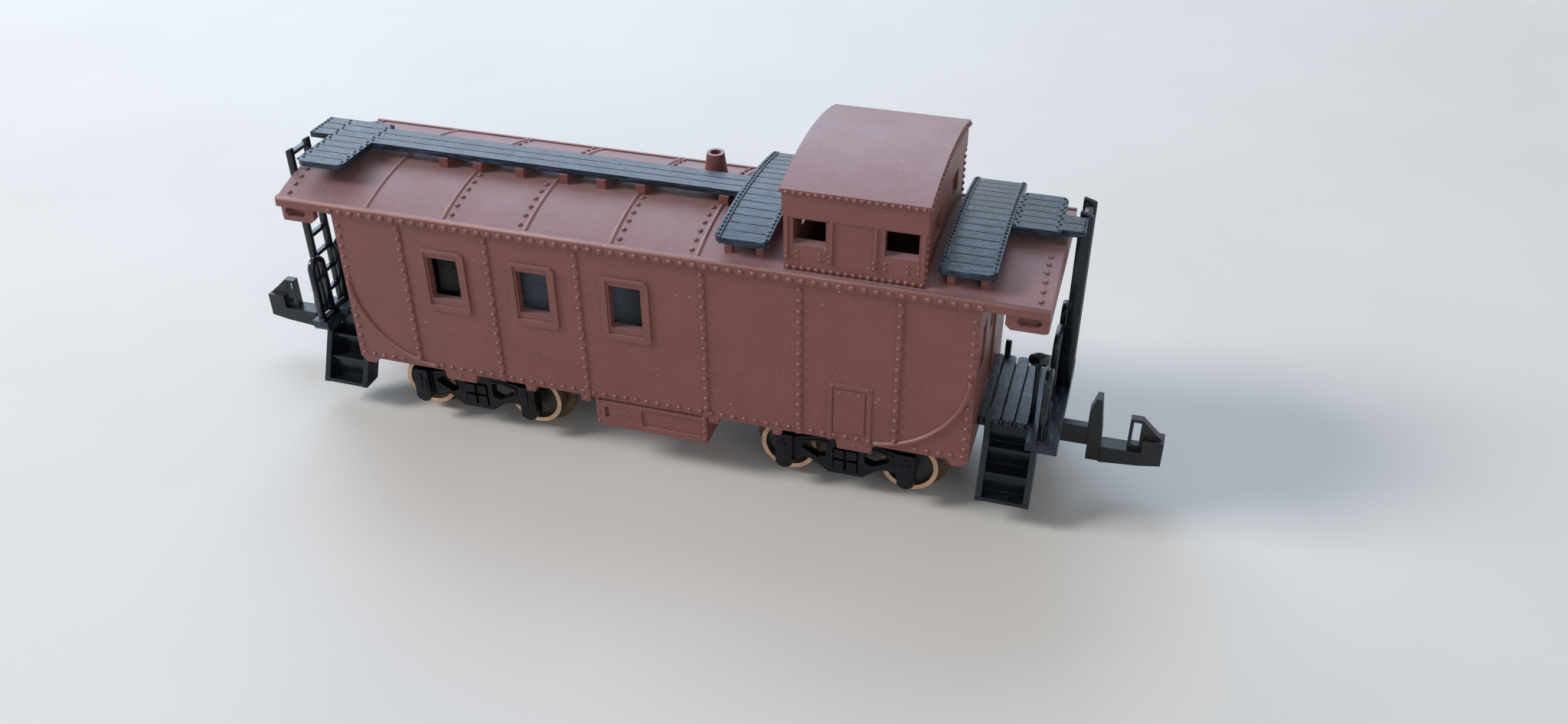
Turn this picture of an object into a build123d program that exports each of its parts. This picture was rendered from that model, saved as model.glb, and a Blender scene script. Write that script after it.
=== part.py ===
from build123d import *
import math
import os

os.makedirs("parts", exist_ok=True)

# Model of an eight-wheel caboose for 9 mm gauge track, in millimetres.
# X runs along the car, Y across it, Z up. Z is 0 at the bottom of the wheel flanges,
# and X and Y are 0 in the middle of the body. Each piece is one node.

# How far a cut reaches past the piece it is made in
PAST = 1

# Wheels
TREAD_R = 2.45
FLANGE_R = 3.2
WHEEL_IN = 3.85
FLANGE_OUT = 4.2
WHEEL_OUT = 5.75
RIM_R = 2.05
DISH_Y = 5.3
AXLE_R = 0.6
AXLE_HALF = 6.6
AXLE_TIP_R = 0.2
AXLE_Z = FLANGE_R

# Trucks
TRUCK_X = 17.1
AXLE_OFFSET = 5.25
FRAME_IN = 6.1
FRAME_OUT = 6.85
FRAME_TOP = 5.45
FRAME_LOW = 1.95
BOX_HALF = 0.72
BOX_OUT = 7.35
BOX_TOP = 5.4
BOX_LOW = 1.95
BOX_BULGE = 0.45
LID_HALF = 0.5
LID_LOW = 3.1
LID_TOP = 4.4
LID_THICK = 0.08
RIDGE_IN = 0.25
RIM_WIDE = 0.2
RIM_PROUD = 0.1
CUP_SIDES = 8
CUP_MOUTH = 0.48
CUP_DEEP = 0.6
CUP_TAPER = 18
SPRING_HALF = 1.1
SPRING_LOW = 2.35
SPRING_TOP = 4.65
SPRING_DEEP = 0.4
SPRING_APART = 0.12
SPRING_Z = (2.9, 4.05)
BOLSTER_HALF = 1.3
BOLSTER_LOW = 3.9
BOLSTER_TOP = 5.25
TONGUE_HALF = 1.3
TONGUE_LOW = 4.2
TONGUE_TOP = 4.75
TONGUE_END = 9.7
PIN_R = 0.9
PIN_HOLE_R = 0.98
PIN_HEAD_R = 1.7
PIN_HEAD_LOW = 3.25
SWIVEL_GAP = 0.12

# Couplers, on a cross pin in the truck's tongue
COUPLER_X = TRUCK_X + 8.7
COUPLER_Z = 5.65
COUPLER_PIN_R = 0.3
SHANK_HALF = 0.38
SHANK_LOW = 4.95
SHANK_TOP = 6.3
SHANK_END = 36.3
SHANK_DROP = 4.5
BEND_X = 30.5
BEND = 0.9
FIN_X = 37.4
FIN_HALF = 0.6
FIN_TOP = 9.35
FIN_LOW = 3.2
BEAM_HALF = 0.75
BEAM_TOP = 4.8
BEAM_LOW = 3.5
HOOK_X = 39.5
HOOK_HALF = 0.35
HOOK_TOP = 7.8
HOOK_WALL = 0.28
HOOK_SILL = 0.45
BLOCK_X = 40.7
BLOCK_TOP = 6.1
COUPLER_END = 42.4
CHEEK = 0.35
CHEEK_GAP = 0.1
CHEEK_BACK = 0.9
STOP_OFF = 0.5
STOP_GAP = 0.03
EYE_GAP = 0.06
EYE_BACK = 0.75

# Body
BODY_HALF = 27.5
SIDE_HALF = 8.15
WALL = 0.7
SIDE_LOW = 6.5
SIDE_TOP = 20.8
FLOOR_LOW = 6.6
FLOOR_TOP = 7.4
SILL_X = 8.2
SILL_Y = 1.3
SILL_LOW = 5.5
BOSS_R = 2.1
WEIGHT_X = 20
WEIGHT_Y = 6.5
WEIGHT_TOP = 11.0
BATTEN_X = (5.4, 13.4, 21.4)
BATTEN_HALF = 0.25
BATTEN_PROUD = 0.1
WINDOW_X = (-17.62, -9.46, -1.25)
WINDOW_WIDE = 2.75
WINDOW_LOW = 14.05
WINDOW_TOP = 18.0
CASING_WIDE = 4.25
CASING_LOW = 12.87
CASING_TOP = 18.75
CASING_PROUD = 0.2
CASING_STEP = 0.55
CASING_REST = 0.05
CASING_CUT = 0.3
GLASS_LEFT = -20.0
GLASS_RIGHT = 1.0
GLASS_LOW = 12.9
GLASS_TOP = 19.0
GLASS_THICK = 0.4
DOOR_HALF = 1.9
DOOR_TOP = 18.9
DOOR_DEEP = 0.2
END_WINDOW_Y = 5.2
END_WINDOW_HALF = 1.0
DOOR_GLASS_HALF = 0.95

# Curved moulding in each lower corner of the sides, part of a circle
CURVE_X = 19.06
CURVE_Z = 14.89
CURVE_R = 8.16
CURVE_HALF = 0.18
CURVE_PROUD = 0.2
CURVE_START = 4.5
CURVE_TURN = 81

# Hatch low in each side
HATCH_X0 = 15.8
HATCH_X1 = 19.45
HATCH_TOP = 12.1
HATCH_FRAME = 0.4
PANEL_GAP = 0.15
PANEL_LOW = 7.45

# Roof
ROOF_END = 32.5
ROOF_HALF = 8.45
RIM_LOW = 20.95
BEAD_LOW = 21.45
BEAD_R = 0.4
GUTTER_Y = 8.02
GUTTER_Z = 21.72
CROWN_Z = 23.15
ROOF_THICK = 0.8
RIB_X = (-24.1, -17.0, -9.66, -2.24, 5.04)
RIB_HALF = 0.12
RIB_PROUD = 0.12

# Frames under both ends of the roof
PORCH_IN = 29.24
PORCH_LOW = 19.55
PORCH_THICK = 0.6
PORCH_ROUND = 0.4
HOLE_X0 = 30.1
HOLE_X1 = 31.95
HOLE_LOW = 19.95
HOLE_TOP = 20.75

# Cupola
CUP_LEFT = 12.05
CUP_RIGHT = 23.0
CUP_HALF = 7.8
CUP_WALL = 0.6
CUP_CAP_HALF = 7.95
CUP_EAVE_HALF = 8.05
CUP_CAP_PROUD = 0.1
CUP_CAP_LOW = 26.35
CUP_EAVE_LOW = 28.35
CUP_EAVE = 28.65
CUP_CROWN = 29.8
CUP_WINDOW_X = (14.08, 21.17)
CUP_WINDOW_Y = (-3.5, 3.5)
CUP_WINDOW_HALF = 1.28
CUP_SILL = 24.0
CUP_SILL_RISE = 0.25
CUP_WINDOW_TOP = 26.2
CUP_RIB_X = (12.25, 15.75, 19.15, 22.8)
CUP_RIB_HALF = 0.16
CUP_RIB_LOW = 22.7

# Smokejack
JACK_X = 2.8
JACK_Y = 3.4
JACK_R = 1.02
JACK_TOP_R = 0.74
JACK_BORE_R = 0.46
JACK_BORE_DEEP = 1.2
JACK_TOP = 25.2

# Roof walks
WALK_TOP = 24.42
WALK_THICK = 0.5
WALK_HALF = 1.5
WALK_LEFT = -26.9
PLANK_WIDE = 1.05
GROOVE_HALF = 0.06
GROOVE_DEEP = 0.1
BORDER_WIDE = 0.5
BORDER_PROUD = 0.1
CROSS_LEFT = 6.5
CROSS_RIGHT = 23.95
CROSS_WIDE = 4.35
CROSS_HALF = 7.86
CROSS_END_TOP = 23.68
CROSS_SAG = 0.2
WALK_ROUND = 0.7
LUG_X = (-20.0, -16.8, -12.9, -8.9, -5.5, -2.0, 5.2)
LUG_HALF = 0.4
LUG_OUT = 1.75
FOOT_HALF = 0.3
FOOT_IN = 0.9
FOOT_Y = 6.9

# Platforms and steps
DECK_TOP = 8.25
DECK_LOW = 7.45
DECK_HALF = 4.1
DECK_END = 31.65
BOARD_TOP = 8.75
BOARD_HALF = 4.85
BOARD_STEP = 1.1
BOARD_GAP = 0.14
BOARD_ROUND = 0.2
END_BEAM_HALF = 6.6
END_BEAM_LOW = 7.1
END_BEAM_ROUND = 0.7
STEP_IN = 28.19
STEP_OUT = 32.61
STEP_LOW = 2.32
STEP_FACE = 7.53
STEP_LEAN = 0.45
STEP_BACK = 1.9
STEP_HEEL = 5.7
STRINGER = 0.5
PLATE = 0.35
GRAB_TOP = 10.0
GRAB_FRONT = -5.6
GRAB_BACK = -4.9
GRAB_ROUND = 0.25

# Railings, ladders and hand brakes
RAIL_HALF = 6.6
RAIL_TOP = 14.5
RAIL_BAR = 0.55
RAIL_ROUND = 0.9
RAIL_LEVELS = (9.8, 12.5)
RAIL_THIN = 0.35
RAIL_FOOT = 0.4
LADDER_IN_Y = 2.15
LADDER_OUT_Y = 5.05
LADDER_TOP = 24.7
LADDER_BAR = 0.45
LADDER_SLOPE = 0.35
RUNG = 0.32
RUNG_DEEP = 0.6
RUNG_FIRST = 9.9
RUNG_STEP = 2.0
BRAKE_Y = 3.3
BRAKE_R = 0.85
BRAKE_CROWN_R = 0.45
BRAKE_TOP = 14.5
BRAKE_THICK = 0.5
BRAKE_RIM = 0.25
BRAKE_OFF = 0.75
STAFF_R = 0.22

# Boxes under the sides
BOX_X0 = -4.75
BOX_X1 = 5.3
BOX_FACE = 8.1
BOX_LOW_Z = 3.6
BOX_IN = 4.2
BOX_LATCH_X = -2.4
BOX_LATCH_Z = 5.2

# Each end of the car: its direction along X, the side of Y on which its ladder stands,
# and how far from the middle its boards, railing and ladder reach. The walks' edges along
# Y are counted towards the ladder's side.
ENDS = (
    dict(name="left", way=-1, side=-1, board_end=31.3, plank_end=33.3, board_y=(-2.3, 6.3),
         plank_y=(-2.3, 1.0), rail_in=31.9, rail_out=32.5, ladder_out=33.15),
    dict(name="right", way=1, side=1, board_end=32.0, plank_end=33.8, board_y=(-1.1, 4.8),
         plank_y=(-0.7, 1.8), rail_in=32.5, rail_out=33.1, ladder_out=34.2),
)


def block(x0, x1, y0, y1, z0, z1):
    """A box between two corners, given in either order."""
    size = Box(abs(x1 - x0), abs(y1 - y0), abs(z1 - z0))
    return Pos((x0 + x1) / 2, (y0 + y1) / 2, (z0 + z1) / 2) * size


def rod(x, y, z, radius, length, axis):
    """A round bar centred on a point, along one axis."""
    turn = {"y": Rot(90, 0, 0), "z": Rot(0, 0, 0)}[axis]
    return Pos(x, y, z) * turn * Cylinder(radius, length)


def along_x(face, x0, x1):
    """A face drawn as (y, z), pushed from x0 to x1."""
    plane = Plane(origin=(x0, 0, 0), x_dir=(0, 1, 0), z_dir=(1, 0, 0))
    return extrude(plane * face, amount=x1 - x0)


def along_y(face, y0, y1):
    """A face drawn as (x, z), pushed from y0 to y1, with y1 the larger."""
    plane = Plane(origin=(0, y1, 0), x_dir=(1, 0, 0), z_dir=(0, -1, 0))
    return extrude(plane * face, amount=y1 - y0)


def arch_face(half, edge, crown, base):
    """The area under an arc over the car, down to a flat base, as (y, z)."""
    arc = ThreePointArc((-half, edge), (0, crown), (half, edge))
    sides = Polyline((half, edge), (half, base), (-half, base), (-half, edge))
    return make_face(Wire([arc, *sides.edges()]))


def arch_height(y, half, edge, crown):
    """Height at y of the arc that rises from edge at the sides to crown in the middle."""
    rise = crown - edge
    radius = (half * half + rise * rise) / (2 * rise)
    return crown - radius + math.sqrt(radius * radius - y * y)


def outline(*points):
    """A flat area with straight sides through the given points."""
    return make_face(Polyline(*points, close=True))


def cut_corners(x0, x1, z0, z1, cut):
    """A rectangle whose corners are cut off."""
    return outline(
        (x0 + cut, z0), (x1 - cut, z0), (x1, z0 + cut), (x1, z1 - cut),
        (x1 - cut, z1), (x0 + cut, z1), (x0, z1 - cut), (x0, z0 + cut),
    )


def other_side(part):
    """The same piece across the middle of the car."""
    return mirror(part, about=Plane.XZ)


def other_end(part):
    """The same piece at the other end of the car."""
    return mirror(part, about=Plane.YZ)


def save(part, name):
    """Write one node."""
    solids = part.solids()
    node = solids[0] if len(solids) == 1 else Compound(children=list(solids))
    node.label = name
    export_step(node, f"parts/{name}.step")


def roof_form():
    """Solid below the roof's upper surface, to which the pieces on it are cut."""
    return along_x(arch_face(GUTTER_Y, GUTTER_Z, CROWN_Z, SIDE_TOP - PAST), -ROOF_END, ROOF_END)


# Body shell, one moulding with its window casings, battens and the tabs of its lower edge

TABS = (
    # middle x, width, lowest z, slope of the ends
    (-26.55, 1.7, 5.96, 0.4),
    (-17.6, 3.1, 5.65, 0.15),
    (-10.85, 1.0, 5.9, 0.1),
    (-5.65, 1.0, 5.9, 0.1),
    (5.95, 1.0, 5.9, 0.1),
    (11.5, 0.9, 5.9, 0.1),
    (18.1, 3.1, 5.65, 0.15),
    (26.55, 1.7, 5.96, 0.4),
)


def curved_moulding():
    """The moulding in the lower right corner of the far side."""
    low = SIDE_HALF
    high = SIDE_HALF + CURVE_PROUD
    section = outline(
        (CURVE_X + CURVE_R - CURVE_HALF, low), (CURVE_X + CURVE_R + CURVE_HALF, low),
        (CURVE_X + CURVE_R + CURVE_HALF / 2, high), (CURVE_X + CURVE_R - CURVE_HALF / 2, high),
    )
    axis = Axis((CURVE_X, 0, CURVE_Z), (0, 1, 0))
    band = revolve(Pos(0, 0, CURVE_Z) * section, axis=axis, revolution_arc=CURVE_TURN)
    return band.rotate(axis, CURVE_START)


def hatch():
    """Raised frame and panel of the hatch in the far side."""
    inner0 = HATCH_X0 + HATCH_FRAME
    inner1 = HATCH_X1 - HATCH_FRAME
    proud = SIDE_HALF + BATTEN_PROUD
    frame = block(HATCH_X0, HATCH_X1, SIDE_HALF, proud, SIDE_LOW, HATCH_TOP)
    frame -= block(inner0, inner1, SIDE_HALF, SIDE_HALF + PAST, SIDE_LOW, HATCH_TOP - HATCH_FRAME)
    panel = block(inner0 + PANEL_GAP, inner1 - PANEL_GAP, SIDE_HALF, proud, PANEL_LOW,
                  HATCH_TOP - HATCH_FRAME - PANEL_GAP)
    return frame + panel


def body_shell():
    shell = block(-BODY_HALF, BODY_HALF, -SIDE_HALF, SIDE_HALF, SIDE_LOW, SIDE_TOP)
    inner_x = BODY_HALF - WALL
    inner_y = SIDE_HALF - WALL
    shell -= block(-inner_x, inner_x, -inner_y, inner_y, SIDE_LOW - PAST, SIDE_TOP + PAST)

    # What stands proud of the far side
    trim = curved_moulding()
    trim += other_end(trim)
    trim += hatch()
    for x, wide, low, slope in TABS:
        half = wide / 2
        tab = outline((x - half, SIDE_LOW), (x - half + slope, low), (x + half - slope, low),
                      (x + half, SIDE_LOW))
        trim += along_y(tab, inner_y, SIDE_HALF)
    for x in BATTEN_X:
        off = x - CURVE_X
        low = SIDE_LOW if off < 0 else CURVE_Z - math.sqrt(CURVE_R**2 - off**2)
        for way in (-1, 1):
            trim += block(way * (x - BATTEN_HALF), way * (x + BATTEN_HALF), SIDE_HALF,
                          SIDE_HALF + BATTEN_PROUD, low, SIDE_TOP)
    cut = None
    for x in WINDOW_X:
        half = CASING_WIDE / 2
        casing = cut_corners(x - half, x + half, CASING_LOW, CASING_TOP, CASING_CUT)
        trim += along_y(casing, SIDE_HALF, SIDE_HALF + CASING_PROUD)
        half -= CASING_STEP
        hollow = block(x - half, x + half, SIDE_HALF + CASING_REST, SIDE_HALF + PAST,
                       CASING_LOW + CASING_STEP, CASING_TOP - CASING_STEP / 2)
        half = WINDOW_WIDE / 2
        hollow += block(x - half, x + half, inner_y - PAST, SIDE_HALF + PAST, WINDOW_LOW, WINDOW_TOP)
        cut = hollow if cut is None else cut + hollow
    shell += trim + other_side(trim)
    shell -= cut + other_side(cut)

    # Doors and windows of the ends
    far = BODY_HALF + PAST
    door = block(BODY_HALF - DOOR_DEEP, far, -DOOR_HALF, DOOR_HALF, BOARD_TOP, DOOR_TOP)
    for y, half in ((-END_WINDOW_Y, END_WINDOW_HALF), (0, DOOR_GLASS_HALF), (END_WINDOW_Y, END_WINDOW_HALF)):
        door += block(inner_x - PAST, far, y - half, y + half, WINDOW_LOW, WINDOW_TOP)
    return shell - door - other_end(door)


def glazing(side):
    """Clear strip behind the windows of one side."""
    inner = SIDE_HALF - WALL
    return block(GLASS_LEFT, GLASS_RIGHT, side * (inner - GLASS_THICK), side * inner, GLASS_LOW, GLASS_TOP)


# Roof with beaded edges, ribs, lugs and feet for the walks, and frames under both ends

def roof_face():
    """The roof's full section as (y, z), with a bead over the strip of each edge."""
    edges = [ThreePointArc((-GUTTER_Y, GUTTER_Z), (0, CROWN_Z), (GUTTER_Y, GUTTER_Z))]
    edges.append(Line((-SIDE_HALF, SIDE_TOP), (SIDE_HALF, SIDE_TOP)))
    bead_y = ROOF_HALF - BEAD_R
    half_way = BEAD_R * math.sqrt(0.5)
    for side in (-1, 1):
        top = (side * bead_y, BEAD_LOW + BEAD_R)
        edges.append(Line((side * GUTTER_Y, GUTTER_Z), top))
        middle = (side * (bead_y + half_way), BEAD_LOW + half_way)
        edges.append(ThreePointArc(top, middle, (side * ROOF_HALF, BEAD_LOW)))
        strip = Polyline((side * ROOF_HALF, BEAD_LOW), (side * ROOF_HALF, RIM_LOW),
                         (side * SIDE_HALF, RIM_LOW), (side * SIDE_HALF, SIDE_TOP))
        edges += strip.edges()
    return make_face(edges)


def porch_frame():
    """Open frame under the roof's right end, on the far side, with its half of the end beam."""
    inner = SIDE_HALF - PORCH_THICK
    face = outline((PORCH_IN, RIM_LOW), (PORCH_IN, PORCH_LOW + PORCH_ROUND),
                   (PORCH_IN + PORCH_ROUND, PORCH_LOW), (ROOF_END, PORCH_LOW), (ROOF_END, RIM_LOW))
    face -= cut_corners(HOLE_X0, HOLE_X1, HOLE_LOW, HOLE_TOP, CASING_CUT)
    frame = along_y(face, inner, SIDE_HALF)
    corner = frame.edges().filter_by(Axis.Z).group_by(Axis.X)[-1].group_by(Axis.Y)[-1]
    frame = fillet(corner, PORCH_ROUND)
    return frame + block(ROOF_END - PORCH_THICK, ROOF_END, 0, inner, PORCH_LOW, RIM_LOW)


def roof():
    shape = along_x(roof_face(), -ROOF_END, ROOF_END)
    rib_face = arch_face(GUTTER_Y, GUTTER_Z + RIB_PROUD, CROWN_Z + RIB_PROUD, RIM_LOW)
    for x in RIB_X:
        shape += along_x(rib_face, x - RIB_HALF, x + RIB_HALF)
    under = arch_face(SIDE_HALF - WALL, GUTTER_Z - ROOF_THICK, CROWN_Z - ROOF_THICK, SIDE_TOP - PAST)
    inner = BODY_HALF - WALL
    porch_end = ROOF_END - PORCH_THICK
    shape -= along_x(under, -inner, inner)
    shape -= along_x(under, BODY_HALF, porch_end)
    shape -= along_x(under, -porch_end, -BODY_HALF)
    cup = CUP_HALF - CUP_WALL
    shape -= block(CUP_LEFT + CUP_WALL, CUP_RIGHT - CUP_WALL, -cup, cup, SIDE_TOP - PAST, CROWN_Z + PAST)
    for x in LUG_X:
        shape += block(x - LUG_HALF, x + LUG_HALF, -LUG_OUT, LUG_OUT, CROWN_Z - ROOF_THICK / 2,
                       WALK_TOP - WALK_THICK)
    for x in (CROSS_LEFT, CROSS_RIGHT):
        for dx in (FOOT_IN, CROSS_WIDE - FOOT_IN):
            for y in (-FOOT_Y, FOOT_Y):
                shape += block(x + dx - FOOT_HALF, x + dx + FOOT_HALF, y - FOOT_HALF, y + FOOT_HALF,
                               GUTTER_Z - ROOF_THICK / 2, CROSS_END_TOP)
        shape -= cross_walk(x)
    frame = porch_frame()
    frame += other_side(frame)
    return shape + frame + other_end(frame)


# Cupola: walls cut to the roof's curve, and a cap whose skirt covers their top

def cupola_walls():
    walls = block(CUP_LEFT, CUP_RIGHT, -CUP_HALF, CUP_HALF, SIDE_TOP, CUP_CAP_LOW)
    t = CUP_WALL
    walls -= block(CUP_LEFT + t, CUP_RIGHT - t, -CUP_HALF + t, CUP_HALF - t, SIDE_TOP - PAST,
                   CUP_CAP_LOW + PAST)
    half = CUP_WINDOW_HALF
    opening = outline(
        (0, CUP_SILL + CUP_SILL_RISE), (CUP_HALF - t, CUP_SILL + CUP_SILL_RISE), (CUP_HALF, CUP_SILL),
        (CUP_HALF + PAST, CUP_SILL), (CUP_HALF + PAST, CUP_WINDOW_TOP), (0, CUP_WINDOW_TOP),
    )
    for x in CUP_WINDOW_X:
        cut = along_x(opening, x - half, x + half)
        walls -= cut + other_side(cut)
    for y in CUP_WINDOW_Y:
        walls -= block(CUP_LEFT - PAST, CUP_RIGHT + PAST, y - half, y + half, CUP_SILL, CUP_WINDOW_TOP)
    for x in CUP_RIB_X:
        for side in (-1, 1):
            walls += block(x - CUP_RIB_HALF, x + CUP_RIB_HALF, side * CUP_HALF, side * CUP_CAP_HALF,
                           CUP_RIB_LOW, CUP_CAP_LOW)
    return walls - roof_form()


def cupola_roof():
    p = CUP_CAP_PROUD
    t = CUP_WALL
    skirt = arch_face(CUP_CAP_HALF, CUP_EAVE_LOW, CUP_CROWN - 2 * p, CUP_CAP_LOW)
    sheet = arch_face(CUP_EAVE_HALF, CUP_EAVE, CUP_CROWN, CUP_EAVE_LOW)
    hollow = arch_face(CUP_HALF - t, CUP_EAVE - t, CUP_CROWN - t, CUP_CAP_LOW - PAST)
    cap = along_x(skirt, CUP_LEFT - p, CUP_RIGHT + p) + along_x(sheet, CUP_LEFT - 2 * p, CUP_RIGHT + 2 * p)
    return cap - along_x(hollow, CUP_LEFT + t, CUP_RIGHT - t)


def smokejack():
    high = JACK_TOP - GUTTER_Z
    slope = (JACK_R - JACK_TOP_R) / (JACK_TOP - CROWN_Z)
    base_r = JACK_TOP_R + slope * high
    jack = Pos(JACK_X, JACK_Y, GUTTER_Z + high / 2) * Cone(base_r, JACK_TOP_R, high)
    jack -= rod(JACK_X, JACK_Y, JACK_TOP, JACK_BORE_R, 2 * JACK_BORE_DEEP, "z")
    return jack - roof_form()


# Roof walks of planks that run along the car

def groove(x0, x1, y, top):
    """What a gap between two planks takes away."""
    lip = top + GROOVE_DEEP / 2
    face = outline((y - GROOVE_HALF, lip), (y, top - GROOVE_DEEP), (y + GROOVE_HALF, lip))
    return along_x(face, x0, x1)


def flat_walk(x0, x1, y0, y1, border0=0.0, border1=0.0):
    """A flat walk between two corners, grooved between its planks but for a border at its ends."""
    walk = block(x0, x1, y0, y1, WALK_TOP - WALK_THICK, WALK_TOP)
    left = min(x0, x1) + border0
    right = max(x0, x1) - border1
    low = min(y0, y1)
    count = round(abs(y1 - y0) / PLANK_WIDE)
    for k in range(1, count):
        walk -= groove(left, right, low + abs(y1 - y0) * k / count, WALK_TOP)
    return walk


def cross_walk(x):
    low = CROSS_END_TOP - WALK_THICK
    far = x + CROSS_WIDE
    walk = along_x(arch_face(CROSS_HALF, CROSS_END_TOP, WALK_TOP, low - PAST), x, far)
    count = round(2 * CROSS_HALF / PLANK_WIDE)
    for k in range(1, count):
        y = CROSS_HALF * (2 * k / count - 1)
        walk -= groove(x, far, y, arch_height(y, CROSS_HALF, CROSS_END_TOP, WALK_TOP))
    border = arch_face(CROSS_HALF, CROSS_END_TOP + BORDER_PROUD, WALK_TOP + BORDER_PROUD, low - PAST)
    walk += along_x(border, x, x + BORDER_WIDE) + along_x(border, far - BORDER_WIDE, far)
    under = arch_face(CROSS_HALF + PAST, low - CROSS_SAG, WALK_TOP - WALK_THICK, low - 2 * PAST)
    walk -= along_x(under, x - PAST, far + PAST)
    return walk & extrude(cut_corners(x, far, -CROSS_HALF, CROSS_HALF, WALK_ROUND / 2), WALK_TOP + PAST)


def end_walk(end, inner):
    """The board beside the ladder and the narrow plank beyond it."""
    way = end["way"]
    side = end["side"]
    board0, board1 = (side * y for y in end["board_y"])
    plank0, plank1 = (side * y for y in end["plank_y"])
    board = flat_walk(way * inner, way * end["board_end"], board0, board1, BORDER_WIDE, BORDER_WIDE)
    corners = board.edges().filter_by(Axis.Z)
    reach = corners.group_by(Axis.Y)[0 if side < 0 else -1]
    board = fillet(reach, WALK_ROUND)
    plank = flat_walk(way * end["board_end"], way * end["plank_end"], plank0, plank1)
    return board + plank


def roof_walk():
    return flat_walk(WALK_LEFT, CROSS_LEFT, -WALK_HALF, WALK_HALF) + end_walk(ENDS[0], -WALK_LEFT)


def end_walk_right():
    return end_walk(ENDS[1], CROSS_RIGHT + CROSS_WIDE)


# Floor with the swivel bosses, a weight on it and the pins that hold the trucks

def underframe():
    x = BODY_HALF - WALL
    y = SIDE_HALF - WALL
    floor = block(-x, x, -y, y, FLOOR_LOW, FLOOR_TOP)
    floor += block(-SILL_X, SILL_X, -SILL_Y, SILL_Y, SILL_LOW, FLOOR_LOW)
    for way in (-1, 1):
        low = BOLSTER_TOP + SWIVEL_GAP
        floor += rod(way * TRUCK_X, 0, (low + FLOOR_LOW) / 2, BOSS_R, FLOOR_LOW - low, "z")
        floor -= rod(way * TRUCK_X, 0, FLOOR_LOW, PIN_R, 2 * (FLOOR_LOW - low) + PAST, "z")
    return floor


def weight():
    return block(-WEIGHT_X, WEIGHT_X, -WEIGHT_Y, WEIGHT_Y, FLOOR_TOP, WEIGHT_TOP)


def truck_pin(way):
    x = way * TRUCK_X
    head = BOLSTER_LOW - SWIVEL_GAP - PIN_HEAD_LOW
    pin = rod(x, 0, (PIN_HEAD_LOW + FLOOR_TOP) / 2, PIN_R, FLOOR_TOP - PIN_HEAD_LOW, "z")
    return pin + rod(x, 0, PIN_HEAD_LOW + head / 2, PIN_HEAD_R, head, "z")


# End platforms with boards and end beams, steps, railings, ladders and hand brakes

def platform(end):
    deck = block(BODY_HALF, DECK_END, -DECK_HALF, DECK_HALF, DECK_LOW, DECK_TOP)
    edge = DECK_END
    while edge > BODY_HALF:
        inner = max(edge - BOARD_STEP, BODY_HALF)
        board = cut_corners(inner, edge - BOARD_GAP, -BOARD_HALF, BOARD_HALF, BOARD_ROUND)
        deck += Pos(0, 0, DECK_TOP) * extrude(board, BOARD_TOP - DECK_TOP)
        edge -= BOARD_STEP
    beam = block(DECK_END, end["ladder_out"], -END_BEAM_HALF, END_BEAM_HALF, END_BEAM_LOW, DECK_TOP)
    ends = beam.edges().filter_by(Axis.X).group_by(Axis.Z)[0]
    deck += fillet(ends, END_BEAM_ROUND)
    return deck if end["way"] > 0 else other_end(deck)


TREADS = (
    # front y, back y, top z
    (7.46, 5.9, 2.65),
    (6.35, 4.6, 4.5),
    (5.4, 4.1, 6.4),
)


def step_front(z):
    """How far out the leaning front edge of the steps is at a height."""
    return STEP_FACE - STEP_LEAN * (z - STEP_LOW)


def steps(end, side):
    toe = -step_front(STEP_LOW)
    lip = -step_front(END_BEAM_LOW)
    foot = ((toe, STEP_LOW), (toe + STEP_BACK, STEP_LOW), (-DECK_HALF, STEP_HEEL))
    outer_top = ((-DECK_HALF, END_BEAM_LOW), (lip, END_BEAM_LOW))
    grab = (
        (-DECK_HALF, DECK_TOP), (GRAB_BACK, DECK_TOP), (GRAB_BACK, GRAB_TOP - GRAB_ROUND),
        (GRAB_BACK - GRAB_ROUND, GRAB_TOP), (GRAB_FRONT + GRAB_ROUND, GRAB_TOP),
        (GRAB_FRONT, GRAB_TOP - GRAB_ROUND), (lip, END_BEAM_LOW),
    )
    stair = along_x(outline(*foot, *grab), STEP_IN, STEP_IN + STRINGER)
    stair += along_x(outline(*foot, *outer_top), STEP_OUT - STRINGER, STEP_OUT)
    for k, (front, back, top) in enumerate(TREADS):
        above = TREADS[k + 1][2] if k + 1 < len(TREADS) else END_BEAM_LOW
        tread = outline((-front, top - PLATE), (-front, top), (-back - PLATE, top),
                        (-back - PLATE, above - PLATE), (-back, above - PLATE), (-back, top - PLATE))
        stair += along_x(tread, STEP_IN, STEP_OUT)
    stair += block(STEP_IN, DECK_END, -DECK_HALF - PLATE, -DECK_HALF, TREADS[-1][2] - PLATE, DECK_TOP)
    if side > 0:
        stair = other_side(stair)
    return stair if end["way"] > 0 else other_end(stair)


def railing_arch(y0, y1):
    """A railing panel as (y, z): an arched bar with two rails inside."""
    frame = outline((y0, DECK_TOP), (y0, RAIL_TOP - RAIL_ROUND / 2), (y0 + RAIL_ROUND / 2, RAIL_TOP),
                    (y1 - RAIL_ROUND / 2, RAIL_TOP), (y1, RAIL_TOP - RAIL_ROUND / 2), (y1, DECK_TOP))
    levels = (DECK_TOP + RAIL_FOOT, *RAIL_LEVELS, RAIL_TOP - RAIL_BAR + RAIL_THIN)
    for low, high in zip(levels, levels[1:]):
        frame -= outline((y0 + RAIL_BAR, low), (y1 - RAIL_BAR, low), (y1 - RAIL_BAR, high - RAIL_THIN),
                         (y0 + RAIL_BAR, high - RAIL_THIN))
    return frame


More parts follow.
